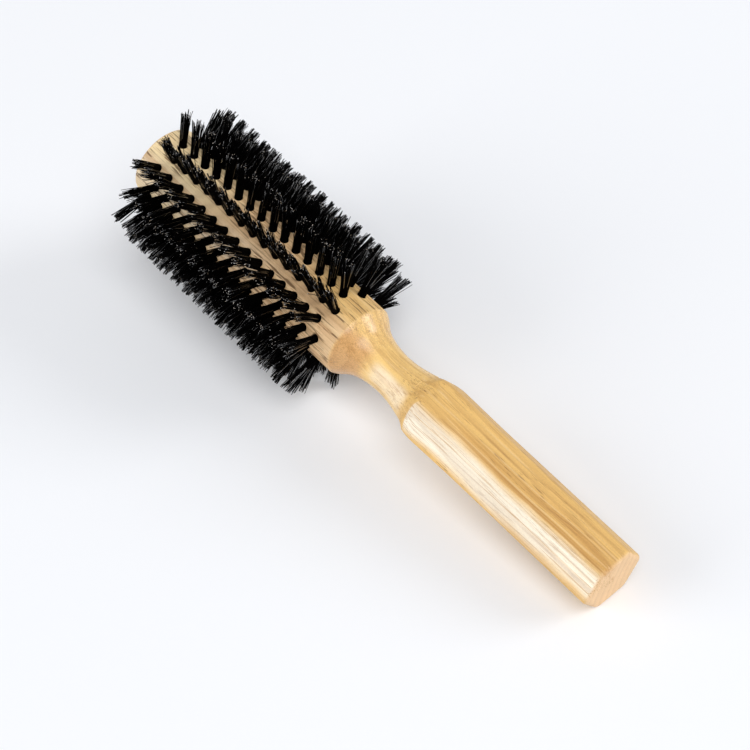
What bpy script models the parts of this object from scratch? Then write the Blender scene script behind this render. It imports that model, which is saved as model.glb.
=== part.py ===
"""Round barrel brush: one turned and flatted wooden body with fourteen rows of set bristle tufts.

Frame: metres. The brush's axis is X. The butt of the handle is at the origin and the barrel points
to +X. +Z is up, square to one of the handle's six flats, so the opposite flat faces down.
"""
import math

import bmesh
import bpy
from mathutils import Matrix, Vector, geometry

# ---- driving dimensions (metres) ----
LENGTH = 0.236
BARREL_RADIUS = 0.0144
BARREL_START = 0.1275          # the shoulder's edge, where the barrel begins
NECK_X = 0.1085                # the narrowest place
NECK_RADIUS = 0.00800
END_EDGE = 0.0015              # rounding of the two end rims

HANDLE_SIDES = 6
FLAT_DISTANCE = 0.0116         # axis to each handle flat
FLAT_CORNER = 0.0030           # rounding radius of the corners between the flats
FLARE_X = 0.0660               # from here the flats draw apart a little towards the neck
FLARE_DISTANCE = 0.0119        # axis to each flat where that flare ends
BLANK_RADIUS = 0.0145          # the turned blank's radius before the flats are cut
FLATS_CLEAR_RADIUS = 0.0288    # the flats' cutter stands clear of the barrel at this distance

ROWS = 14
TUFTS_PER_ROW = 15
TUFT_PITCH = 0.00634
FIRST_TUFT = 0.1385            # first tuft of the even rows; odd rows sit half a pitch nearer the neck
TIP_RADIUS = 0.0300            # axis to the bristle tips
STEM_RADIUS = 0.00145
HOLE_RADIUS = 0.00180
HOLE_FLOOR = 0.0088            # distance of each hole's floor from the axis
HOLE_OVERCUT = 0.0012          # how far the hole cutters stand out of the barrel
GAP = 0.0003                   # clearance between neighbouring pieces

SPREAD_RADIUS = 0.0185         # axis to where a row's tufts have spread together
STEM_OVERLAP = 0.0029          # how far the stems reach into the spread part
STRIP_ROOT_WIDTH = 0.0034
STRIP_TIP_WIDTH = 0.0048
STRIP_END_LEAN = 0.0014        # how far a strip's ends lean outwards at the tips

END_TUFT_STRAIGHT = 0.3        # share of an end tuft's height that is still its stem
# share of the height, half size along the brush, half size round it
END_TUFT_SECTIONS = ((0.0, STEM_RADIUS, STEM_RADIUS), (END_TUFT_STRAIGHT, STEM_RADIUS, STEM_RADIUS),
                     (0.65, 0.0020, 0.0019), (1.0, 0.0027, 0.0024))

# ---- outline curves: four Bezier control points each, as (x, distance from the axis) ----
SWELL = ((0.0898, BLANK_RADIUS), (0.0909, 0.0123), (0.0930, 0.0107), (0.0960, 0.0099))
NECK = (SWELL[-1], (0.0996, 0.0090), (0.1042, NECK_RADIUS), (NECK_X, NECK_RADIUS))
COVE = (NECK[-1], (0.1122, NECK_RADIUS), (0.1179, 0.0087), (0.1217, 0.0106))
DOME = (COVE[-1], (0.1239, 0.0119), (0.1257, 0.0137), (BARREL_START, BARREL_RADIUS))
FLAT_RUNOUT = ((0.0845, FLARE_DISTANCE), (0.0892, 0.0120), (0.0922, 0.0111), (0.0953, 0.0101))

# ---- smoothness ----
TURNED_SEGMENTS = 30
STEM_SIDES = 6
CURVE_STEPS = 8
RIM_STEPS = 3
CORNER_STEPS = 4
SHARP_ANGLE = math.radians(28)


def clear_scene():
    for item in list(bpy.data.objects):
        bpy.data.objects.remove(item)


def make_material(name, color, roughness, metallic=0.0):
    material = bpy.data.materials.new(name)
    material.use_nodes = True
    shader = material.node_tree.nodes["Principled BSDF"]
    shader.inputs["Base Color"].default_value = (*color, 1.0)
    shader.inputs["Roughness"].default_value = roughness
    shader.inputs["Metallic"].default_value = metallic
    return material


def lacquered_wood():
    return make_material("lacquered_wood", (0.72, 0.50, 0.28), 0.38)


def black_bristle(name):
    return make_material(name, (0.012, 0.011, 0.010), 0.35)


def object_from(bm, name):
    bmesh.ops.recalc_face_normals(bm, faces=bm.faces)
    mesh = bpy.data.meshes.new(name)
    bm.to_mesh(mesh)
    bm.free()
    item = bpy.data.objects.new(name, mesh)
    bpy.context.collection.objects.link(item)
    return item


def apply_boolean(item, other, operation):
    """Combine item with a hidden tool object."""
    modifier = item.modifiers.new(operation.lower(), "BOOLEAN")
    modifier.operation = operation
    modifier.solver = "EXACT"
    modifier.object = other
    other.hide_render = True
    other.display_type = "WIRE"


def shade_round(item):
    item.data.shade_smooth()
    item.data.set_sharp_from_angle(angle=SHARP_ANGLE)


def close_between(bm, rings):
    """Skin a list of equal rings and cap both ends."""
    for near, far in zip(rings, rings[1:]):
        count = len(near)
        for step in range(count):
            after = (step + 1) % count
            bm.faces.new((near[step], near[after], far[after], far[step]))
    bm.faces.new(rings[0])
    bm.faces.new(rings[-1])


def bezier(control):
    points = [Vector((x, distance, 0.0)) for x, distance in control]
    return [(p.x, p.y) for p in geometry.interpolate_bezier(*points, CURVE_STEPS)]


def rim_arc(x_end, distance, inward):
    """A quarter round at an end rim, from the side to the end face. inward is +1 or -1 along X."""
    arc = []
    for step in range(RIM_STEPS + 1):
        turn = math.pi / 2 * step / RIM_STEPS
        x = x_end + inward * END_EDGE * (1 - math.sin(turn))
        arc.append((x, distance - END_EDGE * (1 - math.cos(turn))))
    return arc


def turned_profile():
    """(x, radius) of the body as it leaves the lathe, from beyond the butt to the barrel's end."""
    outline = [(-END_EDGE, BLANK_RADIUS)] + bezier(SWELL)
    for curve in (NECK, COVE, DOME):
        outline += bezier(curve)[1:]
    return outline + rim_arc(LENGTH, BARREL_RADIUS, -1)


def turned_ring(bm, x, radius):
    verts = []
    for step in range(TURNED_SEGMENTS):
        turn = 2 * math.pi * step / TURNED_SEGMENTS
        verts.append(bm.verts.new((x, -radius * math.sin(turn), radius * math.cos(turn))))
    return verts


def turned_body():
    bm = bmesh.new()
    close_between(bm, [turned_ring(bm, x, radius) for x, radius in turned_profile()])
    return object_from(bm, "wooden_body")


def flats_profile():
    """(x, axis-to-flat distance) of the six-sided cut, which opens out clear of the neck and barrel."""
    handle = rim_arc(0.0, FLAT_DISTANCE, 1)[::-1] + [(FLARE_X, FLAT_DISTANCE)]
    clear_start = FLAT_RUNOUT[-1][0] + GAP
    clear_end = LENGTH + END_EDGE
    return handle + bezier(FLAT_RUNOUT) + [(clear_start, FLATS_CLEAR_RADIUS), (clear_end, FLATS_CLEAR_RADIUS)]


def rounded_section(bm, x, distance):
    """A ring of the handle's many-sided section, with a flat to +Z and rounded corners."""
    half_side = math.pi / HANDLE_SIDES
    rounding = FLAT_CORNER * distance / FLAT_DISTANCE
    reach = (distance - rounding) / math.cos(half_side)
    verts = []
    for side in range(HANDLE_SIDES):
        corner = half_side * (2 * side + 1)
        for step in range(CORNER_STEPS + 1):
            turn = corner + half_side * (2 * step / CORNER_STEPS - 1)
            y = reach * math.sin(corner) + rounding * math.sin(turn)
            z = reach * math.cos(corner) + rounding * math.cos(turn)
            verts.append(bm.verts.new((x, -y, z)))
    return verts


def handle_flats():
    bm = bmesh.new()
    close_between(bm, [rounded_section(bm, x, distance) for x, distance in flats_profile()])
    return object_from(bm, "handle_flats")


def row_turn(row):
    return 2 * math.pi * (row + 0.5) / ROWS


def row_start(row):
    return FIRST_TUFT - (row % 2) * TUFT_PITCH / 2


def tuft_ring(bm, x, height, half_x, half_y):
    """A ring square to a tuft that stands along +Z, with a corner to either side of the row."""
    verts = []
    for step in range(STEM_SIDES):
        turn = 2 * math.pi * (step + 0.5) / STEM_SIDES
        verts.append(bm.verts.new((x + half_x * math.cos(turn), half_y * math.sin(turn), height)))
    return verts


def add_stem(bm, x, bottom, top, radius):
    close_between(bm, [tuft_ring(bm, x, height, radius, radius) for height in (bottom, top)])


def tuft_holes():
    """Every blind hole in one cutter, one row after another turned about the axis."""
    bm = bmesh.new()
    for row in range(ROWS):
        before = len(bm.verts)
        for tuft in range(TUFTS_PER_ROW):
            x = row_start(row) + tuft * TUFT_PITCH
            add_stem(bm, x, HOLE_FLOOR, BARREL_RADIUS + HOLE_OVERCUT, HOLE_RADIUS)
        bm.verts.ensure_lookup_table()
        bmesh.ops.rotate(bm, verts=bm.verts[before:], cent=(0, 0, 0),
                         matrix=Matrix.Rotation(row_turn(row), 3, "X"))
    return object_from(bm, "tuft_holes")


def wooden_body():
    """Handle, neck, shoulder and barrel: one piece of wood, turned, flatted and drilled."""
    body = turned_body()
    apply_boolean(body, handle_flats(), "INTERSECT")
    apply_boolean(body, tuft_holes(), "DIFFERENCE")
    shade_round(body)
    body.data.materials.append(lacquered_wood())


def strip_mesh(name, first, last):
    """The spread part of a row, a strip that widens towards the tips, standing along +Z."""
    bm = bmesh.new()
    rings = []
    for height, width, lean in ((SPREAD_RADIUS, STRIP_ROOT_WIDTH, 0.0),
                                (TIP_RADIUS, STRIP_TIP_WIDTH, STRIP_END_LEAN)):
        near = first - STEM_RADIUS - GAP - lean
        far = last + STEM_RADIUS + GAP + lean
        corners = ((near, -width / 2), (far, -width / 2), (far, width / 2), (near, width / 2))
        rings.append([bm.verts.new((x, y, height)) for x, y in corners])
    close_between(bm, rings)
    return object_from(bm, name)


def stems_mesh(name, first, count):
    bm = bmesh.new()
    for tuft in range(count):
        x = first + tuft * TUFT_PITCH
        add_stem(bm, x, HOLE_FLOOR + GAP, SPREAD_RADIUS + STEM_OVERLAP, STEM_RADIUS)
    return object_from(bm, name)


def bristle_row(row, material):
    """The inner tufts of a row: separate stems at the root that spread into one strip."""
    inner = TUFTS_PER_ROW - 2
    first = row_start(row) + TUFT_PITCH
    last = first + (inner - 1) * TUFT_PITCH
    strip = strip_mesh(f"bristle_row_{row + 1:02d}", first, last)
    stems = stems_mesh(f"stems_{row + 1:02d}", first, inner)
    stems.parent = strip
    apply_boolean(strip, stems, "UNION")
    strip.rotation_euler.x = row_turn(row)
    strip.data.materials.append(material)


def end_tuft(name, row, x, material):
    """A tuft that ends a row: its stem spreads into a head of its own."""
    bm = bmesh.new()
    rings = []
    for share, half_x, half_y in END_TUFT_SECTIONS:
        height = HOLE_FLOOR + GAP + share * (TIP_RADIUS - HOLE_FLOOR - GAP)
        rings.append(tuft_ring(bm, x, height, half_x, half_y))
    close_between(bm, rings)
    tuft = object_from(bm, name)
    tuft.rotation_euler.x = row_turn(row)
    shade_round(tuft)
    tuft.data.materials.append(material)


def bristles():
    inner_material = black_bristle("black_bristle")
    end_material = black_bristle("black_bristle_ends")
    for row in range(ROWS):
        near = row_start(row)
        far = near + (TUFTS_PER_ROW - 1) * TUFT_PITCH
        bristle_row(row, inner_material)
        end_tuft(f"handle_end_tuft_{row + 1:02d}", row, near, end_material)
        end_tuft(f"far_end_tuft_{row + 1:02d}", row, far, end_material)


clear_scene()
wooden_body()
bristles()
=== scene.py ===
import math
from types import SimpleNamespace

import bpy
import numpy as np
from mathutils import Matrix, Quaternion, Vector, geometry


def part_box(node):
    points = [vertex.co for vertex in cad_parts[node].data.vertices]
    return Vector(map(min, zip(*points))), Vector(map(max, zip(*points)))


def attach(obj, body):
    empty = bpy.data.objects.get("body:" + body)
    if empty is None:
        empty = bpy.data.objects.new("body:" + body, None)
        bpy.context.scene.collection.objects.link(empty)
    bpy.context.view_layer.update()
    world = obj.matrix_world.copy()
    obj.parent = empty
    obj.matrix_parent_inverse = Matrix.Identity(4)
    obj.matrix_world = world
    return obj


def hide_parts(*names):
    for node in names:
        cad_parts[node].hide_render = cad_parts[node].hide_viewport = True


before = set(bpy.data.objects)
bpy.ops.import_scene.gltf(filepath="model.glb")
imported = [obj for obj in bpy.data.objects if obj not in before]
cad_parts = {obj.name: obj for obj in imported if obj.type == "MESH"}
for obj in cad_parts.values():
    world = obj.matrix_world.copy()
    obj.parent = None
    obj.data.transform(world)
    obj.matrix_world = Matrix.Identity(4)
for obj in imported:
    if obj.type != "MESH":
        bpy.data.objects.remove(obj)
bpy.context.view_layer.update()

# Round barrel brush: the finished form of each piece, on a pale floor in soft studio light.
# The brush's axis is X, from the butt at the origin to the barrel's far end. +Z is square to a handle flat.

# ---- the brush's dimensions, in metres, in the CAD frame ----
WOOD_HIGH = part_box("wooden_body")[1]
LENGTH = WOOD_HIGH.x
BARREL_RADIUS = WOOD_HIGH.z
TIP_RADIUS = -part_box("bristle_row_04")[0].y     # row 4 stands along -Y
BARREL_START = 0.1275           # the shoulder's edge
NECK_X = 0.1085                 # the narrowest place
NECK_RADIUS = 0.00800
END_EDGE = 0.0015               # rounding of the two end rims

HANDLE_SIDES = 6
FLAT_DISTANCE = 0.0116          # axis to each handle flat
FLAT_CORNER = 0.0030            # rounding radius of the corners between the flats
FLARE_X = 0.0660                # from here the flats draw apart a little towards the neck
FLARE_DISTANCE = 0.0119         # axis to each flat where that flare ends
BLANK_RADIUS = 0.0145           # the turned blank's radius before the flats are cut
CLEARING = 0.002                # length over which the flats' outline draws clear of the wood
CREST_SOFTNESS = 0.0009         # how far the edge between a flat and the turned neck is sanded away

ROWS = 14
TUFTS_PER_ROW = 15
TUFT_PITCH = 0.00634
FIRST_TUFT = 0.1385             # first tuft of the even rows; odd rows sit half a pitch nearer the neck
HOLE_RADIUS = 0.00162
HOLE_CHAMFER = 0.00012
HOLE_FLOOR = 0.0088             # distance of each hole's floor from the axis

# Bezier control points of the outline, as (x, distance from the axis)
SWELL = ((0.0898, BLANK_RADIUS), (0.0909, 0.0123), (0.0930, 0.0107), (0.0960, 0.0099))
NECK = (SWELL[-1], (0.0996, 0.0090), (0.1042, NECK_RADIUS), (NECK_X, NECK_RADIUS))
COVE = (NECK[-1], (0.1122, NECK_RADIUS), (0.1179, 0.0087), (0.1217, 0.0106))
DOME = (COVE[-1], (0.1239, 0.0119), (0.1257, 0.0137), (BARREL_START, BARREL_RADIUS))
FLAT_RUNOUT = ((0.0845, FLARE_DISTANCE), (0.0892, 0.0120), (0.0922, 0.0111), (0.0953, 0.0101))

# ---- mesh fineness ----
CELL = 12                       # grid squares along one side of a tuft's cell
COLUMNS = ROWS * CELL
CURVE_STEPS = 48
RIM_STEPS = 6
HANDLE_STEPS = 25               # stations along the plain handle, ...
ARCH_STEPS = 64                 # ... across the arches where the flats run out, ...
NECK_STEPS = 55                 # ... along the neck and dome, ...
EDGE_STEPS = 4                  # ... over the shoulder's edge, ...
MARGIN_STEPS = 8                # ... and on each plain margin of the barrel
ARCH_START = 0.0815
ARCH_END = 0.0975
EDGE_HALF = 0.0002              # half the stretch of close stations at the shoulder's edge
EVEN_FROM = 0.1150              # from here the columns are evenly spaced round the axis
CORNER_CROWDING = 0.65          # 0 spaces the handle's columns evenly, 1 crowds them at its corners
HOLE_RINGS = (0.4, 0.75, 1.0)   # rings between a cell's border and its hole's rim, as shares of the way
END_RINGS = (0.94, 0.6, 0.25, 0.03)     # rings on an end face, as shares of its radius
SHARP_ANGLE = math.radians(38)


# ---------------------------------------------------------------- wooden body

def bezier(control):
    points = [Vector((x, distance, 0.0)) for x, distance in control]
    return [(p.x, p.y) for p in geometry.interpolate_bezier(*points, CURVE_STEPS)]


def rim_arc(x_end, distance, inward):
    """Quarter round at an end rim, from the side to the end face."""
    turns = np.linspace(0, math.pi / 2, RIM_STEPS + 1)
    return [(x_end + inward * END_EDGE * (1 - math.sin(t)), distance - END_EDGE * (1 - math.cos(t)))
            for t in turns]


def turned_outline():
    outline = [(0.0, BLANK_RADIUS)]
    for curve in (SWELL, NECK, COVE, DOME):
        outline += bezier(curve)
    return np.array(outline + rim_arc(LENGTH, BARREL_RADIUS, -1)).T


def flats_outline():
    """Distance of the handle's flats from the axis. Past their run-out they stand clear of the wood."""
    clear = 2 * BARREL_RADIUS
    outline = rim_arc(0.0, FLAT_DISTANCE, 1)[::-1] + [(FLARE_X, FLAT_DISTANCE)] + bezier(FLAT_RUNOUT)
    clear_from = outline[-1][0] + CLEARING
    return np.array(outline + [(clear_from, clear), (LENGTH, clear)]).T


def section_radius(distance, theta):
    """Polar radius of the handle's rounded six-sided section, with a flat at theta 0."""
    half_side = math.pi / HANDLE_SIDES
    from_corner = np.abs(np.mod(theta, 2 * half_side) - half_side)
    rounding = FLAT_CORNER * distance / FLAT_DISTANCE
    reach = (distance - rounding) / math.cos(half_side)
    tangent = np.arctan2(rounding * math.sin(half_side), reach + rounding * math.cos(half_side))
    flat = distance / np.cos(half_side - from_corner)
    under_root = np.maximum(rounding ** 2 - (reach * np.sin(from_corner)) ** 2, 0.0)
    arc = reach * np.cos(from_corner) + np.sqrt(under_root)
    return np.where(from_corner < tangent, arc, flat)


def soft_min(a, b, width):
    """The lesser of two values, rounded off where they are within this width of each other."""
    near = np.maximum(width - np.abs(a - b), 0.0) / width
    return np.minimum(a, b) - near ** 2 * width / 4


def smooth_step(value, low, high):
    t = np.clip((value - low) / (high - low), 0.0, 1.0)
    return t * t * (3 - 2 * t)


def body_stations():
    """x of every ring of the body from the butt to the far rim, and the index where the tuft cells begin."""
    first_cell = FIRST_TUFT - TUFT_PITCH
    cell_steps = int((TUFTS_PER_ROW + 0.5) * CELL)
    cells = first_cell + np.arange(cell_steps + 1) * TUFT_PITCH / CELL
    before = np.concatenate([
        [x for x, _ in rim_arc(0.0, FLAT_DISTANCE, 1)[::-1]],
        np.linspace(END_EDGE, ARCH_START, HANDLE_STEPS + 1)[1:],
        np.linspace(ARCH_START, ARCH_END, ARCH_STEPS + 1)[1:],
        np.linspace(ARCH_END, BARREL_START - EDGE_HALF, NECK_STEPS + 1)[1:],
        np.linspace(BARREL_START - EDGE_HALF, BARREL_START + EDGE_HALF, EDGE_STEPS + 1)[1:],
        np.linspace(BARREL_START + EDGE_HALF, first_cell, MARGIN_STEPS + 1)[1:-1]])
    after = np.concatenate([
        np.linspace(cells[-1], LENGTH - END_EDGE, MARGIN_STEPS + 1)[1:-1],
        [x for x, _ in rim_arc(LENGTH, BARREL_RADIUS, -1)]])
    return np.concatenate([before, cells, after]), len(before)


def column_angles(x):
    """Angles of the grid's columns at each station: crowded at the handle's corners, even on the barrel."""
    even = 2 * math.pi * np.arange(COLUMNS) / COLUMNS
    per_side = COLUMNS // HANDLE_SIDES
    half_side = math.pi / HANDLE_SIDES
    u = 2 * (np.arange(COLUMNS) % per_side) / per_side - 1
    spread = (1 - CORNER_CROWDING) * u + CORNER_CROWDING * u ** 3
    crowded = half_side * (2 * (np.arange(COLUMNS) // per_side) + 1 + spread)
    share = smooth_step(x, ARCH_END, EVEN_FROM)[:, None]
    return crowded * (1 - share) + even * share


def polar_point(x, radius, theta):
    return np.stack([x, -radius * np.sin(theta), radius * np.cos(theta)], axis=-1)


class Surface:
    """Vertices and faces of one mesh, gathered piece by piece, each face with its material slot."""

    def __init__(self):
        self.blocks = []
        self.count = 0
        self.faces = []
        self.slots = []
        self.flat = []

    def add(self, points):
        points = np.asarray(points, float).reshape(-1, 3)
        first = self.count
        self.blocks.append(points)
        self.count += len(points)
        return np.arange(first, self.count)

    def quads(self, a, b, c, d, slot=0, flat=False):
        self.faces += np.stack([np.ravel(v) for v in (a, b, c, d)], axis=-1).tolist()
        self.slots += np.broadcast_to(slot, np.shape(a)).ravel().tolist()
        self.flat += [flat] * np.size(a)

    def polygon(self, ring):
        self.faces.append(ring.tolist())
        self.slots.append(0)
        self.flat.append(True)

    def skin(self, outer, inner):
        """Quads between two closed rings of the same length."""
        self.quads(np.roll(outer, -1), outer, inner, np.roll(inner, -1))

    def to_object(self, name):
        points = np.concatenate(self.blocks)
        used = np.zeros(len(points), bool)
        for face in self.faces:
            used[face] = True
        renumber = np.cumsum(used) - 1
        mesh = bpy.data.meshes.new(name)
        mesh.from_pydata(points[used].tolist(), [], [renumber[face].tolist() for face in self.faces])
        mesh.polygons.foreach_set("use_smooth", [not flat for flat in self.flat])
        mesh.polygons.foreach_set("material_index", self.slots)
        mesh.update()
        item = bpy.data.objects.new(name, mesh)
        bpy.context.scene.collection.objects.link(item)
        return item


def cell_border(grid, first_station, first_column):
    """Vertex indices round one tuft's cell, with their places in it from -1 to 1."""
    steps = np.arange(CELL)
    full = np.full(CELL, CELL)
    none = np.zeros(CELL, int)
    along = np.concatenate([steps, full, CELL - steps, none])
    across = np.concatenate([none, steps, full, CELL - steps])
    indices = grid[first_station + along, (first_column + across) % COLUMNS]
    return indices, 2 * along / CELL - 1, 2 * across / CELL - 1


def add_hole(surface, grid, first_station, row, x_centre):
    """The ground round one tuft's hole, its chamfered rim, wall and floor."""
    border, a, b = cell_border(grid, first_station, row * CELL)
    theta = row_turn(row)
    border_x = a * TUFT_PITCH / 2
    border_s = b * math.pi * BARREL_RADIUS / ROWS
    turn = np.arctan2(border_s, border_x)
    rim = HOLE_RADIUS + HOLE_CHAMFER
    rim_x = rim * np.cos(turn)
    rim_s = BARREL_RADIUS * np.arcsin(rim * np.sin(turn) / BARREL_RADIUS)
    outer = border
    for share in HOLE_RINGS:
        x = x_centre + border_x * (1 - share) + rim_x * share
        s = border_s * (1 - share) + rim_s * share
        ring = surface.add(polar_point(x, BARREL_RADIUS, theta + s / BARREL_RADIUS))
        surface.skin(outer, ring)
        outer = ring
    side = HOLE_RADIUS * np.sin(turn)
    top = np.sqrt(BARREL_RADIUS ** 2 - side ** 2) - HOLE_CHAMFER
    for height in (top, np.full(len(top), HOLE_FLOOR)):
        ring = surface.add(tuft_point(row, x_centre + HOLE_RADIUS * np.cos(turn), side, height))
        surface.skin(outer, ring)
        outer = ring
    surface.polygon(outer[::-1])


def row_turn(row):
    """Angle of a row round the axis, from +Z towards -Y."""
    return 2 * math.pi * (row + 0.5) / ROWS


def row_start(row):
    """x of a row's first tuft. Odd rows start half a pitch nearer the neck."""
    return FIRST_TUFT - (row % 2) * TUFT_PITCH / 2


def tuft_point(row, x, side, height):
    """A point given along the brush, round it and out from its axis, on a tuft of this row."""
    theta = row_turn(row)
    out = np.array([0.0, -math.sin(theta), math.cos(theta)])
    sideways = np.array([0.0, -math.cos(theta), -math.sin(theta)])
    x, side, height = np.broadcast_arrays(x, side, height)
    return x[..., None] * np.array([1.0, 0.0, 0.0]) + side[..., None] * sideways + height[..., None] * out


def close_end(surface, ring, outward):
    """Rings shrinking to the middle of an end face."""
    points = surface.blocks[0][ring]
    centre = np.array([points[0][0], 0.0, 0.0])
    outer = ring
    for share in END_RINGS:
        inner = surface.add(centre + (points - centre) * share)
        if outward > 0:
            surface.skin(outer[::-1], inner[::-1])
        else:
            surface.skin(outer, inner)
        outer = inner
    surface.polygon(outer[::-outward])


def make_wooden_body():
    """Handle, neck, shoulder and drilled barrel as one smooth skin."""
    x, first_cell = body_stations()
    theta = column_angles(x)
    turned = np.interp(x, *turned_outline())[:, None]
    flats = section_radius(np.interp(x, *flats_outline())[:, None], theta)
    before_barrel = (x < BARREL_START)[:, None]
    radius = np.where(before_barrel, soft_min(flats, turned, CREST_SOFTNESS), turned)
    surface = Surface()
    points = polar_point(np.broadcast_to(x[:, None], theta.shape), radius, theta)
    grid = surface.add(points).reshape(theta.shape)

    open_ground = np.ones((len(x) - 1, COLUMNS), bool)
    for row in range(ROWS):
        start = first_cell + (0 if row % 2 else CELL // 2)
        open_ground[start:start + TUFTS_PER_ROW * CELL, row * CELL:(row + 1) * CELL] = False
    station, column = np.nonzero(open_ground)
    after = (column + 1) % COLUMNS
    surface.quads(grid[station, column], grid[station, after],
                  grid[station + 1, after], grid[station + 1, column])
    for row in range(ROWS):
        start = first_cell + (0 if row % 2 else CELL // 2)
        for tuft in range(TUFTS_PER_ROW):
            add_hole(surface, grid, start + tuft * CELL, row, row_start(row) + tuft * TUFT_PITCH)
    close_end(surface, grid[0], -1)
    close_end(surface, grid[-1], 1)
    body = surface.to_object("wooden_body_finished")
    body.data.set_sharp_from_angle(angle=SHARP_ANGLE)
    return body


# ---------------------------------------------------------------- bristles

STRANDS = 68
CLUMPS = 14                     # points that one tuft's tips gather into
STRAND_SIDES = 4
STRAND_RADIUS = 0.000155
STRAND_STATIONS = np.array([0.0, 0.30, 0.48, 0.66, 0.84, 1.0])      # shares of a strand's length
ROOT_SPREAD = 0.00144           # radius of the disc in which a tuft's strands stand
ROOT_GAP = 0.0003               # how far the strands start above the hole's floor
STEM_SHARE = 0.34               # share of a strand's length that stays in the stem
INNER_FAN = (1.6, 1.5)          # how much wider a tuft's tips are than its root, along and round the brush
HANDLE_END_FAN = (2.3, 1.5)
FAR_END_FAN = (1.5, 1.5)
FAN_VARIES = (0.88, 1.14)
FAN_POWER = 1.3                 # above 1 the strands bend outwards later
INWARD = 0.0004                 # how far the tips of a far-end tuft lean towards the middle of the row

# standard deviations of the places where things end up, in metres
TUFT_WANDER = 0.00030
CLUMP_WANDER = 0.00024
STRAND_WANDER = 0.00018
STRAY_WANDER = 0.0013
LENGTH_WANDER = 0.0006
BOW_WANDER = 0.00016

CLUMP_WIDTH = 0.9               # how wide a clump stays at its tips, against its root
CLUMP_REACH = 0.0004            # how far a mean clump reaches past the tip radius
CLUMP_LIMIT = 0.0010            # no clump ends farther than this from the tip radius
BOW_FROM = 0.2                  # share of a strand's length at which its bow begins
STRAY_SHARE = 0.05
SHORT_SHARE = 0.28              # share of the strands that stop short of the tips
SHORT_BY = (0.0015, 0.0085)
THICKNESS_VARIES = (0.85, 1.10)
TIP_TAPER = 0.15
GLOSSY_SHARE = 0.18             # share of the strands that shine above the stem
# share of the strands whose cut ends are painted light, as painted glints
GLINT_END_SHARE = 0.24
DULL, GLOSSY, GLINT_END = range(3)

# one wire: its radius, and its bends across the hole and out from the axis
ANCHOR_RADIUS = 0.00018
ANCHOR_SIDE = np.array([-0.00132, -0.00108, 0.0, 0.00108, 0.00132])
ANCHOR_HEIGHT = HOLE_FLOOR + np.array([0.0003, 0.0009, 0.0012, 0.0009, 0.0003])

GOLDEN_TURN = math.pi * (3 - math.sqrt(5))
SEED = 412


def add_tuft(surface, random, row, tuft, fan, lean):
    """One tuft: strands packed in a round stem whose tips gather into uneven points as they fan out."""
    order = np.arange(STRANDS)
    ring = ROOT_SPREAD * np.sqrt((order + 0.5) / STRANDS)
    turn = order * GOLDEN_TURN + random.uniform(0, 2 * math.pi)
    root = np.stack([ring * np.cos(turn), ring * np.sin(turn)], axis=-1)
    leaders = random.choice(STRANDS, CLUMPS, replace=False)
    apart = np.linalg.norm(root[:, None] - root[leaders][None], axis=-1)
    clump = apart.argmin(axis=1)
    fan = np.array(fan) * random.uniform(*FAN_VARIES)
    tuft_lean = np.array([lean, 0.0]) + random.normal(0, TUFT_WANDER, 2)
    clump_tip = root[leaders] * fan + random.normal(0, CLUMP_WANDER, (CLUMPS, 2)) + tuft_lean
    tip = clump_tip[clump] + (root - root[leaders[clump]]) * CLUMP_WIDTH
    tip += random.normal(0, STRAND_WANDER, (STRANDS, 2))
    stray = random.random(STRANDS) < STRAY_SHARE
    tip += np.where(stray[:, None], random.normal(0, STRAY_WANDER, (STRANDS, 2)), 0.0)

    clump_length = random.normal(0, LENGTH_WANDER, CLUMPS)
    length = TIP_RADIUS + np.clip(clump_length + CLUMP_REACH, -CLUMP_LIMIT, CLUMP_LIMIT)[clump]
    length -= np.abs(random.normal(0, LENGTH_WANDER, STRANDS))
    short = random.random(STRANDS) < SHORT_SHARE
    length -= np.where(short, random.uniform(*SHORT_BY, STRANDS), 0.0)
    bow = random.normal(0, BOW_WANDER, (STRANDS, 2))

    s = STRAND_STATIONS[None, :]
    start = HOLE_FLOOR + ROOT_GAP
    reach = (length - start) / (TIP_RADIUS - start)
    fanned = np.clip((s * reach[:, None] - STEM_SHARE) / (1 - STEM_SHARE), 0, 1) ** FAN_POWER
    bowed = np.sin(math.pi * np.clip((s - BOW_FROM) / (1 - BOW_FROM), 0, 1))
    height = start + s * (length - start)[:, None]
    place = root[:, None] + (tip - root)[:, None] * fanned[..., None] + bow[:, None] * bowed[..., None]
    x_root = row_start(row) + tuft * TUFT_PITCH
    line = tuft_point(row, x_root + place[..., 0], place[..., 1], height)
    thickness = STRAND_RADIUS * random.uniform(*THICKNESS_VARIES, STRANDS)[:, None] * (1 - TIP_TAPER * s ** 3)
    glossy = (random.random(STRANDS) < GLOSSY_SHARE)[:, None] & (STRAND_STATIONS[:-1] > STEM_SHARE)
    sides = np.where(glossy, GLOSSY, DULL)
    # a share of the cut ends are painted glints
    ends = np.where(random.random(STRANDS) < GLINT_END_SHARE, GLINT_END, DULL)
    add_tubes(surface, line, thickness, sides, ends)


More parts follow.
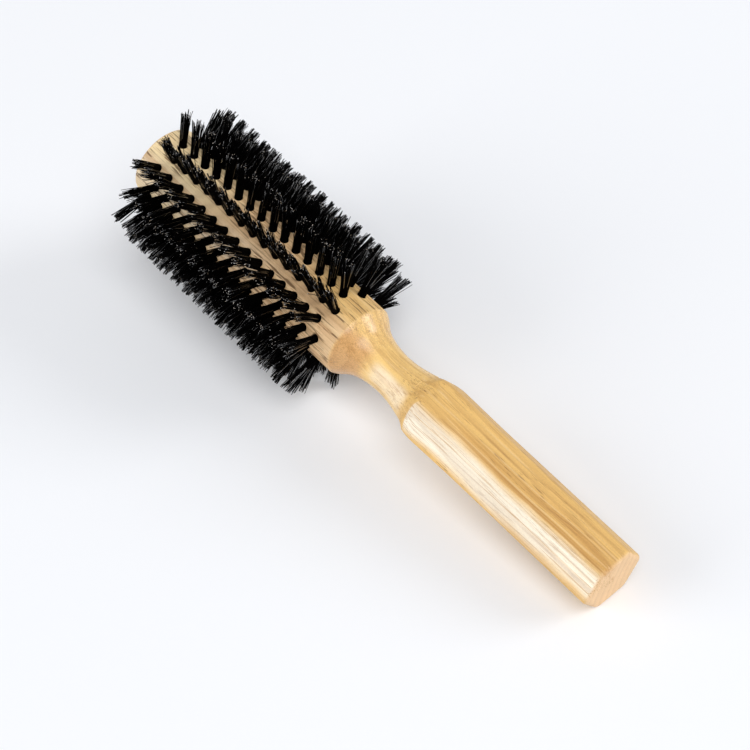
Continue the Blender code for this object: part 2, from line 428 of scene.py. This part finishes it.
def add_tubes(surface, line, thickness, side_slots, end_slots):
    """Closed four-sided tubes along many polylines at once."""
    along = np.gradient(line, axis=1)
    along /= np.linalg.norm(along, axis=-1, keepdims=True)
    across = np.cross(along, np.array([1.0, 0.0, 0.0]))
    across /= np.linalg.norm(across, axis=-1, keepdims=True)
    other = np.cross(along, across)
    rings = []
    for side in range(STRAND_SIDES):
        turn = 2 * math.pi * side / STRAND_SIDES
        rings.append(line + thickness[..., None] * (math.cos(turn) * across + math.sin(turn) * other))
    points = np.stack(rings, axis=2)
    strands, stations = line.shape[:2]
    grid = surface.add(points).reshape(strands, stations, STRAND_SIDES)
    near, far = grid[:, :-1], grid[:, 1:]
    surface.quads(near, np.roll(near, -1, axis=2), np.roll(far, -1, axis=2), far, side_slots[..., None])
    surface.quads(*[grid[:, 0, side] for side in range(STRAND_SIDES - 1, -1, -1)], DULL, True)
    surface.quads(*[grid[:, -1, side] for side in range(STRAND_SIDES)], end_slots, True)


def make_inner_row(row):
    """The tufts of a row between its two end tufts."""
    random = np.random.default_rng(SEED + row)
    surface = Surface()
    for tuft in range(1, TUFTS_PER_ROW - 1):
        add_tuft(surface, random, row, tuft, INNER_FAN, 0.0)
    return surface.to_object(f"filaments_row_{row + 1:02d}")


def make_end_tuft(row, name, tuft, fan, lean):
    random = np.random.default_rng(SEED + 100 * (tuft + 1) + row)
    surface = Surface()
    add_tuft(surface, random, row, tuft, fan, lean)
    return surface.to_object(name)


def make_row_anchors(row):
    """The bent wires, one to a tuft, that hold the filaments down in the holes of a row."""
    surface = Surface()
    x = row_start(row) + np.arange(TUFTS_PER_ROW)[:, None] * TUFT_PITCH
    line = tuft_point(row, x, ANCHOR_SIDE, ANCHOR_HEIGHT)
    steel = np.zeros((TUFTS_PER_ROW, len(ANCHOR_SIDE) - 1), int)
    add_tubes(surface, line, np.full(line.shape[:2], ANCHOR_RADIUS), steel, steel[:, 0])
    return surface.to_object(f"anchor_wires_{row + 1:02d}")


# ---------------------------------------------------------------- material tools

class Value:
    """A number, vector or colour in a material's node tree. Sums and products of numbers are nodes too."""

    def __init__(self, socket):
        self.socket = socket
        self.tree = socket.id_data

    def __add__(self, other):
        return maths("ADD", self, other)

    def __sub__(self, other):
        return maths("SUBTRACT", self, other)

    def __rsub__(self, other):
        return maths("SUBTRACT", other, self)

    def __mul__(self, other):
        return maths("MULTIPLY", self, other)

    __radd__ = __add__
    __rmul__ = __mul__


def node(tree, kind, inputs, **settings):
    made = tree.nodes.new(kind)
    for key, value in settings.items():
        setattr(made, key, value)
    for socket, value in inputs.items():
        if isinstance(value, Value):
            tree.links.new(value.socket, made.inputs[socket])
        else:
            made.inputs[socket].default_value = value
    return made


def tree_of(*values):
    return next(value.tree for value in values if isinstance(value, Value))


def maths(operation, a, b=0.0):
    return Value(node(tree_of(a, b), "ShaderNodeMath", {0: a, 1: b}, operation=operation).outputs[0])


def vector_maths(operation, a, b):
    return Value(node(a.tree, "ShaderNodeVectorMath", {0: a, 1: b}, operation=operation).outputs[0])


def parts_of(vector):
    """The x, y and z of a vector."""
    return [Value(socket) for socket in node(vector.tree, "ShaderNodeSeparateXYZ", {0: vector}).outputs]


def ramp(value, none_at, full_at):
    """0 at one value and beyond it, 1 at the other and beyond it, smooth between them."""
    made = node(value.tree, "ShaderNodeMapRange", {"Value": value, "From Min": none_at, "From Max": full_at},
                interpolation_type="SMOOTHSTEP")
    return Value(made.outputs[0])


def band(value, rise, fall):
    """1 between a rise and a fall, each given as the two values that it runs between, and 0 outside them."""
    return ramp(value, *rise) * (1.0 - ramp(value, *fall))


def blend(share, a, b, mode="MIX"):
    """Colour a, with this share of it changed to b."""
    a, b = (color if isinstance(color, Value) else (*color, 1.0) for color in (a, b))
    made = node(tree_of(share, a, b), "ShaderNodeMix", {0: share, 6: a, 7: b},
                data_type="RGBA", blend_type=mode)
    return Value(made.outputs[2])


def noise_node(position, stretch, detail, roughness):
    """Noise with this many features a metre along X, Y and Z."""
    vector = vector_maths("MULTIPLY", position, stretch)
    return node(position.tree, "ShaderNodeTexNoise", {"Vector": vector, "Scale": 1.0, "Detail": detail,
                                                      "Roughness": roughness})


def noise(position, stretch, detail=3.0, roughness=0.55):
    return Value(noise_node(position, stretch, detail, roughness).outputs[0])


def new_material(name):
    """A material, its shader and the place on the object."""
    material = bpy.data.materials.new(name)
    material.use_nodes = True
    place = material.node_tree.nodes.new("ShaderNodeTexCoord").outputs["Object"]
    return material, material.node_tree.nodes["Principled BSDF"], Value(place)


def drive(shader, socket, value):
    value.tree.links.new(value.socket, shader.inputs[socket])


def add_bump(shader, height, strength, distance):
    bump = node(height.tree, "ShaderNodeBump", {"Height": height, "Strength": strength, "Distance": distance})
    drive(shader, "Normal", Value(bump.outputs[0]))


# ---------------------------------------------------------------- wood

HONEY = (0.815, 0.508, 0.165)           # the handle
NECK_HONEY = (0.890, 0.590, 0.215)
CREAM_AND_SHEEN = (1.000, 0.900, 0.720)           # the pale side: pale wood with a painted reflection of the left lamp on it
SHADED_PEACH = (0.680, 0.385, 0.150)           # painted shade: the dome's side turned away from the key lamp
# painted light: the side of the dome and barrel turned to the key lamp
LIT_GOLD = (0.830, 0.540, 0.205)
RAW = (0.830, 0.560, 0.300)             # the barrel
FAR_LIT_GOLD = (1.000, 0.790, 0.450)        # painted light: the barrel's far end, brightened as if well lit
END_GRAIN = (0.860, 0.575, 0.315)
BROWN = (0.400, 0.185, 0.050)           # late wood, streaks and fine lines
UMBER = (0.540, 0.265, 0.062)           # the streaks by the ridge between the top and pale flats
LINE_GOLD = (0.520, 0.270, 0.060)       # lines on the pale side
PALE_STREAK = (0.930, 0.690, 0.380)
PORE = (0.300, 0.145, 0.050)
DASH = (0.130, 0.060, 0.020)            # the long open pores of the barrel

PITH_Y = -0.052                         # the tree's pith lies outside the brush
PITH_Z = -0.016
RING_WIDTH = 0.0031
RING_SLOPE = 0.022                      # how fast the rings drift outwards along the brush
GRAIN_WANDER = 0.0040

# where looks change, in metres along the brush: (none of it, all of it), and a fall the other way round
POLISHED_FROM = (0.0880, 0.1020)
NECK_TONE = (0.0900, 0.1000)
ARCH_EDGE = (0.0906, 0.0914)
ARCH_DROP = 0.004                       # metres the arch falls back, for each square radian off its middle
NECK_HIGHLIGHT_RISE, NECK_HIGHLIGHT_FALL = (0.0935, 0.0975), (0.1100, 0.1150)
DOME_RISE = (0.1130, 0.1190)
BARREL_EDGE = (BARREL_START - 0.0010, BARREL_START + 0.0008)
LIT_BARREL = (0.165, 0.140)
BARREL_SHEEN_FROM = (0.150, 0.200)
FAR_LIT_BARREL = (0.185, 0.215)
RIDGE_FADE = (0.090, 0.050)
BUTT_FACE = (0.0012, 0.0001)
FAR_FACE = (LENGTH - 0.0012, LENGTH - 0.0001)

# the same round the brush, in degrees from +Z towards +Y
PALE_SHEEN_MIDDLE = 60
PALE_SHEEN_RISE, PALE_SHEEN_FALL = (20, 42), (70, 90)
RIDGE_RISE, RIDGE_FALL = (-8, 14), (22, 30)
LIT_RISE, LIT_FALL = (-165, -140), (6, 28)
EDGE_WANDER = 0.45                      # radians by which these edges wander

# how much of the pale side's cream shows on the neck and barrel, against the handle: on the neck it is a
# painted highlight, on the barrel a painted reflection of the left lamp
NECK_HIGHLIGHT_SHARE = 0.55
BARREL_SHEEN_SHARE = 0.50


def radians(pair):
    return tuple(math.radians(value) for value in pair)


def late_wood(grain):
    """The dark outer part of each year's ring."""
    x, y, z = parts_of(grain)
    from_y = y - PITH_Y
    from_z = z - PITH_Z
    radius = maths("SQRT", from_y * from_y + from_z * from_z) + x * RING_SLOPE
    year = maths("FRACT", radius * (1 / RING_WIDTH))
    return band(year, (0.30, 0.92), (0.92, 1.0))


def wood_textures(position):
    """The wood's figure at every scale, from bands as long as the handle to single pores."""
    wander = Value(noise_node(position, (11.0, 50.0, 50.0), 2.0, 0.5).outputs["Color"])
    wander = vector_maths("SUBTRACT", wander, (0.5, 0.5, 0.5))
    wander = vector_maths("MULTIPLY", wander, (0.0, GRAIN_WANDER, GRAIN_WANDER))
    grain = vector_maths("ADD", position, wander)
    return SimpleNamespace(
        late_wood=late_wood(grain),
        broad=noise(grain, (8.0, 300.0, 300.0), 2.0),
        pale_lines=noise(grain, (12.0, 900.0, 900.0), 2.0, 0.5),
        long_lines=noise(grain, (12.0, 1750.0, 1750.0), 2.0, 0.5),
        fibre=noise(grain, (22.0, 1300.0, 1300.0), 3.0, 0.6),
        dashes=noise(grain, (120.0, 1250.0, 1250.0), 1.0, 0.4),
        pores=noise(grain, (170.0, 2900.0, 2900.0), 1.0, 0.4),
        cloud=noise(position, (30.0, 110.0, 110.0), 2.0),
        pore_zone=noise(position, (22.0, 240.0, 240.0), 2.0),
        speckle=noise(position, (1400.0, 3200.0, 3200.0), 2.0))


def wood_regions(position, cloud):
    """Masks, from 0 to 1, of the regions of the body that look different, painted light among them: the pale
    side's painted sheen and highlights, and a lit side against a painted shaded one.
    """
    along, y, z = parts_of(position)
    turn = maths("ARCTAN2", y, z)
    from_middle = turn - math.radians(PALE_SHEEN_MIDDLE)
    past_arch = along + from_middle * from_middle * ARCH_DROP
    turn = turn + (cloud - 0.5) * EDGE_WANDER
    barrel = ramp(along, *BARREL_EDGE)
    # the cream is pale wood with a painted reflection of the left lamp; it stops at the arch where the flat
    # ends
    pale_and_sheen_share = 1.0 - ramp(past_arch, *ARCH_EDGE)
    # painted highlight: the neck's left side, where the left lamp would shine on it, is painted cream
    pale_and_sheen_share = pale_and_sheen_share + band(along, NECK_HIGHLIGHT_RISE, NECK_HIGHLIGHT_FALL) * NECK_HIGHLIGHT_SHARE
    # painted reflection: the barrel's left side towards its far end is painted cream, as the left lamp would
    # light it
    pale_and_sheen_share = pale_and_sheen_share + ramp(along, *BARREL_SHEEN_FROM) * BARREL_SHEEN_SHARE
    return SimpleNamespace(
        along=along,
        barrel=barrel,
        dome=ramp(along, *DOME_RISE) * (1.0 - barrel),
        end_face=maths("MAXIMUM", ramp(along, *BUTT_FACE), ramp(along, *FAR_FACE)),
        pale_wood_and_sheen=band(turn, radians(PALE_SHEEN_RISE), radians(PALE_SHEEN_FALL)) * pale_and_sheen_share,
        ridge=band(turn, radians(RIDGE_RISE), radians(RIDGE_FALL)) * ramp(along, *RIDGE_FADE),
        # painted light: the side turned to the key lamp is gold, the side away from it painted shade
        painted_lit_side=ramp(turn, *radians(LIT_RISE)) - ramp(turn, *radians(LIT_FALL)))


def ground_color(region):
    """The body's colour before any figure, with painted light in it: a gold lit side against a peach painted
    shaded side, a brightened far end of the barrel, and the pale side's painted sheen.
    """
    color = blend(ramp(region.along, *NECK_TONE), HONEY, NECK_HONEY)
    # the dome: gold on its painted lit side, peach on its painted shaded side
    color = blend(region.dome, color, blend(region.painted_lit_side, SHADED_PEACH, LIT_GOLD))
    # the barrel by the shoulder: gold on its painted lit side
    barrel = blend(region.painted_lit_side * ramp(region.along, *LIT_BARREL), RAW, LIT_GOLD)
    # painted light: the barrel's far end is painted brighter, as if well lit
    barrel = blend(ramp(region.along, *FAR_LIT_BARREL), barrel, FAR_LIT_GOLD)
    color = blend(region.barrel, color, barrel)
    # pale wood with a painted reflection of the left lamp on the handle's flat, a painted highlight on the
    # neck and barrel
    color = blend(region.pale_wood_and_sheen, color, CREAM_AND_SHEEN)
    return blend(region.end_face, color, END_GRAIN)


def add_figure(color, region, texture, off_end):
    """Streaks, rings and lines, each multiplied by how strongly it shows."""
    streaks = ramp(texture.broad, 0.50, 0.72) * (0.34 + region.barrel * 0.22)
    color = blend(streaks * off_end, color, BROWN)
    ridge_streaks = region.ridge * ramp(texture.broad, 0.34, 0.62)
    color = blend(ridge_streaks * 0.72, color, UMBER)
    color = blend(texture.late_wood * (0.22 - region.end_face * 0.08), color, BROWN)
    fine_lines = ramp(texture.fibre, 0.52, 0.70) * off_end
    color = blend(fine_lines * 0.42, color, BROWN)
    pale_lines = ramp(texture.pale_lines, 0.54, 0.66) * (1.0 - region.dome)
    color = blend(pale_lines * 0.30, color, PALE_STREAK)
    side_lines = ramp(texture.long_lines, 0.55, 0.60) * region.pale_wood_and_sheen
    return blend(side_lines * 0.64, color, LINE_GOLD)


def add_mottling(color, region, texture):
    """Slow and fine changes of brightness, with the most grit on the dome's end grain."""
    slow = 0.92 + texture.cloud * 0.16
    grit = 0.34 + region.dome * 0.55
    lift = slow * (1.0 + (texture.speckle - 0.5) * grit)
    lifted = node(lift.tree, "ShaderNodeCombineXYZ", {0: lift, 1: lift, 2: lift})
    return blend(1.0, color, Value(lifted.outputs[0]), "MULTIPLY")


def wood_material():
    """Blond open-pored wood: honey and cream on the handle, the cream being pale wood with a painted
    reflection of the left lamp, satin on the neck, rawer on the barrel, with painted light and shade on the
    dome and barrel.
    """
    material, shader, position = new_material("satin_wood")
    texture = wood_textures(position)
    region = wood_regions(position, texture.cloud)
    off_end = 1.0 - region.end_face * 0.80
    color = add_figure(ground_color(region), region, texture, off_end)
    color = add_mottling(color, region, texture)

    pores = ramp(texture.pores, 0.62, 0.70) * ramp(texture.pore_zone, 0.40, 0.62) * off_end
    dashes = ramp(texture.dashes, 0.56, 0.63) * ramp(texture.pore_zone, 0.42, 0.54)
    dashes = dashes * (0.10 + region.barrel * 0.90) * off_end
    color = blend(pores * (0.85 - region.pale_wood_and_sheen * 0.50), color, PORE)
    color = blend(dashes * 0.80, color, DASH)
    drive(shader, "Base Color", color)

    open_grain = maths("MAXIMUM", pores, dashes)
    polished = ramp(region.along, *POLISHED_FROM) - region.barrel
    roughness = 0.52 - polished * 0.34 + texture.speckle * 0.12 + open_grain * 0.25
    drive(shader, "Roughness", roughness)
    add_bump(shader, texture.fibre * 0.40 - open_grain, strength=0.40, distance=0.00012)
    shader.inputs["Specular IOR Level"].default_value = 0.55
    return material


# ---------------------------------------------------------------- filaments and wire

BLUE_BLACK = (0.0004, 0.0004, 0.0006)
BROWN_BLACK = (0.0022, 0.0018, 0.0015)
# painted glints on the cut ends of some strands
GLINT_GREY = (0.80, 0.79, 0.77)
GLINT_TAN = (0.52, 0.40, 0.27)
DARK_STEEL = (0.42, 0.42, 0.43)
LIGHT_STEEL = (0.62, 0.61, 0.59)


def filament_material(name, specular, roughness, coat):
    """Black filament with a trace of brown and uneven gloss."""
    material, shader, position = new_material(name)
    patch = noise(position, (900.0, 900.0, 900.0), 2.0)
    drive(shader, "Base Color", blend(ramp(patch, 0.35, 0.75), BLUE_BLACK, BROWN_BLACK))
    scratch = noise(position, (4200.0, 4200.0, 4200.0), 2.0)
    drive(shader, "Roughness", roughness + scratch * 0.20)
    add_bump(shader, scratch, strength=0.25, distance=0.00004)
    shader.inputs["Specular IOR Level"].default_value = specular
    shader.inputs["Coat Weight"].default_value = coat
    shader.inputs["Coat Roughness"].default_value = 0.05
    return material


def glint_end_material():
    """The cut ends of some strands, from grey to tan: painted glints, lighter than the black filament."""
    material, shader, position = new_material("painted_glint_cut_end")
    tint = ramp(noise(position, (700.0, 700.0, 700.0)), 0.35, 0.65)
    drive(shader, "Base Color", blend(tint, GLINT_GREY, GLINT_TAN))
    shader.inputs["Roughness"].default_value = 0.35
    return material


def anchor_material():
    """Drawn steel wire, brighter and duller along its length."""
    material, shader, position = new_material("drawn_steel_wire")
    drawn = noise(position, (900.0, 900.0, 900.0), 2.0)
    drive(shader, "Base Color", blend(drawn, DARK_STEEL, LIGHT_STEEL))
    drive(shader, "Roughness", 0.25 + drawn * 0.20)
    shader.inputs["Metallic"].default_value = 1.0
    return material


# ---------------------------------------------------------------- stage

CAMERA_PLACE = Vector((-0.2161, 0.2855, 0.6805))
CAMERA_TARGET = Vector((0.1130, 0.0048, -0.0002))
CAMERA_ROLL = math.radians(-1.36)
CAMERA_LENS = 110.98
BUTT_CONTACT = Vector((0.0010, 0.0, -0.0116))       # the brush rests on its butt's edge ...
TIP_CONTACT = Vector((0.1315, 0.0, -0.0293))        # ... and on the tips of the tufts nearest the neck
FLOOR_HALF = 30.0                                   # half the floor's side, so that no edge is in view
FLOOR_GAP = 0.0001                                  # clearance under the lowest bristle tips
FLOOR_COLOR = (0.905, 0.920, 0.945, 1.0)
ROOM_COLOR = (0.95, 0.96, 1.0, 1.0)
ROOM_STRENGTH = 0.36


def make_camera():
    data = bpy.data.cameras.new("photo_camera")
    data.lens = CAMERA_LENS
    data.sensor_width = 36.0
    data.clip_start = 0.01
    camera = bpy.data.objects.new("photo_camera", data)
    bpy.context.scene.collection.objects.link(camera)
    camera.location = CAMERA_PLACE
    camera.rotation_mode = "QUATERNION"
    aim = (CAMERA_TARGET - CAMERA_PLACE).to_track_quat("-Z", "Y")
    camera.rotation_quaternion = aim @ Quaternion((0.0, 0.0, 1.0), CAMERA_ROLL)
    bpy.context.scene.camera = camera
    return camera


def floor_axes():
    """The floor's directions: away along the brush, across it, and up."""
    along = (TIP_CONTACT - BUTT_CONTACT).normalized()
    up = along.cross(Vector((0.0, 1.0, 0.0))).normalized()
    return along, up.cross(along), up


def make_floor(lowest):
    """A wide pale floor, just below the brush's lowest point."""
    along, across, up = floor_axes()
    centre = up * (lowest - FLOOR_GAP)
    square = ((-1, -1), (1, -1), (1, 1), (-1, 1))
    corners = [centre + (along * a + across * b) * FLOOR_HALF for a, b in square]
    mesh = bpy.data.meshes.new("floor")
    mesh.from_pydata([list(corner) for corner in corners], [], [(0, 1, 2, 3)])
    floor = bpy.data.objects.new("floor", mesh)
    bpy.context.scene.collection.objects.link(floor)
    material, shader, _ = new_material("pale_floor")
    shader.inputs["Base Color"].default_value = FLOOR_COLOR
    shader.inputs["Roughness"].default_value = 0.7
    shader.inputs["Specular IOR Level"].default_value = 0.2
    mesh.materials.append(material)


def add_softbox(name, direction, distance, size, power):
    """A round soft light that points at the middle of the view."""
    data = bpy.data.lights.new(name, "AREA")
    data.shape = "DISK"
    data.size = size
    data.energy = power
    light = bpy.data.objects.new(name, data)
    bpy.context.scene.collection.objects.link(light)
    place = CAMERA_TARGET + direction.normalized() * distance
    light.location = place
    light.rotation_mode = "QUATERNION"
    light.rotation_quaternion = (CAMERA_TARGET - place).to_track_quat("-Z", "Y")


def make_light(camera):
    """A pale room, a soft box above the camera, a large key at its upper right and a low fill at its left."""
    view = camera.rotation_quaternion.to_matrix()
    right, up, back = (view @ Vector(axis) for axis in ((1, 0, 0), (0, 1, 0), (0, 0, 1)))
    add_softbox("front", right * 0.10 + up * 0.15 + back, distance=6.0, size=4.5, power=196.0)
    add_softbox("key", right * 0.84 + up * 0.37 + back * 0.40, distance=4.5, size=2.2, power=74.0)
    add_softbox("left_fill", -right * 0.90 + up * 0.05 + back * 0.35, distance=4.5, size=3.6, power=80.0)
    world = bpy.data.worlds.new("pale_room")
    world.use_nodes = True
    background = world.node_tree.nodes["Background"]
    background.inputs["Color"].default_value = ROOM_COLOR
    background.inputs["Strength"].default_value = ROOM_STRENGTH
    bpy.context.scene.world = world
    bpy.context.scene.view_settings.view_transform = "Standard"


# ---------------------------------------------------------------- assembly

def finish_piece(piece, materials):
    for material in materials:
        piece.data.materials.append(material)
    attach(piece, "root")
    return piece


def stand_in(piece, materials, cad_node):
    """Finish a piece that is shown in place of a CAD node."""
    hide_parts(cad_node)
    return finish_piece(piece, materials)


def lowest_along(pieces, direction):
    """The least distance of any point of the pieces along a direction."""
    lows = []
    for piece in pieces:
        points = np.zeros(len(piece.data.vertices) * 3)
        piece.data.vertices.foreach_get("co", points)
        lows.append((points.reshape(-1, 3) @ np.array(direction)).min())
    return min(lows)


wood = [wood_material()]
filament = [filament_material("dull_black_filament", specular=0.01, roughness=0.30, coat=0.0),
            filament_material("glossy_black_filament", specular=1.00, roughness=0.05, coat=1.0),
            glint_end_material()]
wire = [anchor_material()]
pieces = [stand_in(make_wooden_body(), wood, "wooden_body")]
for row in range(ROWS):
    label = f"{row + 1:02d}"
    pieces.append(stand_in(make_inner_row(row), filament, f"bristle_row_{label}"))
    handle_end = make_end_tuft(row, f"filaments_handle_end_{label}", 0, HANDLE_END_FAN, 0.0)
    pieces.append(stand_in(handle_end, filament, f"handle_end_tuft_{label}"))
    far_end = make_end_tuft(row, f"filaments_far_end_{label}", TUFTS_PER_ROW - 1, FAR_END_FAN, -INWARD)
    pieces.append(stand_in(far_end, filament, f"far_end_tuft_{label}"))
    pieces.append(finish_piece(make_row_anchors(row), wire))

make_floor(lowest_along(pieces, floor_axes()[2]))
make_light(make_camera())
